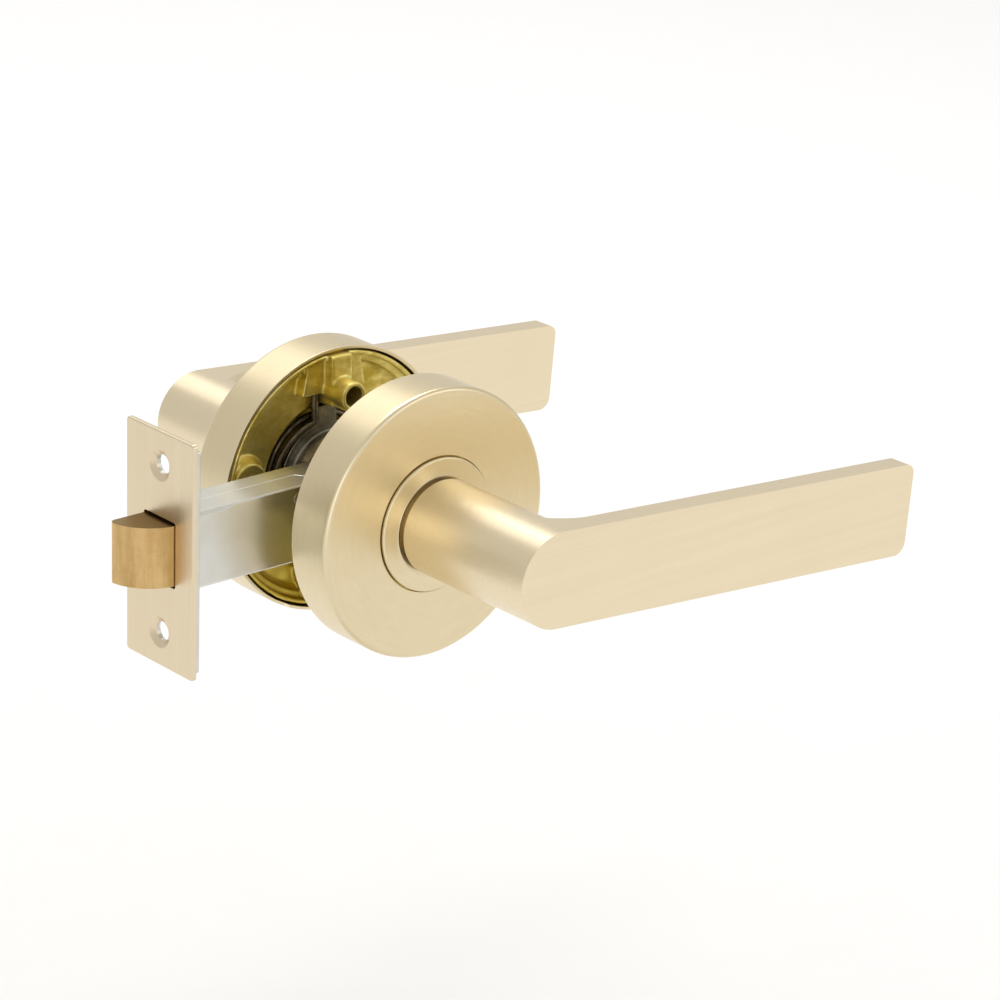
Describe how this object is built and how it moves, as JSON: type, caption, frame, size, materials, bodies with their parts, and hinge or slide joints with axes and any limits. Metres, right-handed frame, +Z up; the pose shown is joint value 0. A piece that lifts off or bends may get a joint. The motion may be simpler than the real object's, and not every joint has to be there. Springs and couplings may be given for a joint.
{
  "type": "lever handle lockset",
  "caption": "Pair of sprung lever handles on round roses with a square spindle and a tubular latch whose bolt draws back as a lever is pressed down.",
  "frame": {"origin": "on the spindle's axis, midway between the rims of the two roses, which is the middle of the door's thickness", "axes": "+X runs along the levers, away from the latch's faceplate; +Y runs along the spindle to the inside of the door; +Z is up"},
  "size_m": [0.1853, 0.1362, 0.0658],
  "materials": {
    "satin_brass": "satin, fine brushed lines, lacquered",
    "cast_brass": "die-cast, yellow passivated",
    "bolt_brass": "machined, slightly tarnished",
    "case_steel": "nickel plated, pressed sheet",
    "dark_steel": "oiled, blackened",
    "bright_steel": "zinc plated"
  },
  "bodies": {
    "latch_and_roses": {"faceplate": "satin_brass", "backing_plate": "case_steel", "case_front": "case_steel", "case_rear": "case_steel", "case_rivets": "case_steel", "guide_block": "bright_steel", "bolt_spring": "bright_steel", "front_rose": "satin_brass", "front_collar": "satin_brass", "front_chassis": "cast_brass", "front_return_spring": "dark_steel", "rear_rose": "satin_brass", "rear_collar": "satin_brass", "rear_chassis": "cast_brass", "rear_return_spring": "dark_steel"},
    "front_handle": {"front_lever": "satin_brass", "front_grub_screw": "dark_steel", "front_drive_plate": "dark_steel", "front_washer": "bright_steel", "front_circlip": "dark_steel"},
    "rear_handle": {"rear_lever": "satin_brass", "rear_grub_screw": "dark_steel", "rear_drive_plate": "dark_steel", "rear_washer": "bright_steel", "rear_circlip": "dark_steel"},
    "spindle_and_follower": {"spindle": "bright_steel", "follower": "cast_brass"},
    "bolt_train": {"latch_bolt": "bolt_brass", "draw_rod": "bright_steel", "rod_pin": "bright_steel", "retractor": "bright_steel"}
  },
  "joints": [
    {"name": "front_lever_turn", "type": "hinge", "parent": "latch_and_roses", "child": "front_handle", "pos_m": [0, 0, 0], "axis": [0, 1, 0], "range_deg": [0, 60], "stiffness_Nm_per_rad": 0.5, "springref_deg": -57.3, "deforming": ["front_return_spring"]},
    {"name": "rear_lever_turn", "type": "hinge", "parent": "latch_and_roses", "child": "rear_handle", "pos_m": [0, 0, 0], "axis": [0, 1, 0], "range_deg": [0, 60], "stiffness_Nm_per_rad": 0.5, "springref_deg": -57.3, "deforming": ["rear_return_spring"]},
    {"name": "spindle_turn", "type": "hinge", "parent": "latch_and_roses", "child": "spindle_and_follower", "pos_m": [0, 0, 0], "axis": [0, 1, 0], "range_deg": [0, 60]},
    {"name": "bolt_slide", "type": "slide", "parent": "latch_and_roses", "child": "bolt_train", "axis": [1, 0, 0], "range_m": [0, 0.01], "stiffness_N_per_m": 300, "springref_m": -0.015, "deforming": ["bolt_spring"]}
  ],
  "couplings": [
    {"joint": "rear_lever_turn", "follows": "front_lever_turn", "ratio": 1},
    {"joint": "spindle_turn", "follows": "front_lever_turn", "ratio": 1},
    {"joint": "bolt_slide", "follows": "front_lever_turn", "m_per_rad": 0.009549}
  ]
}
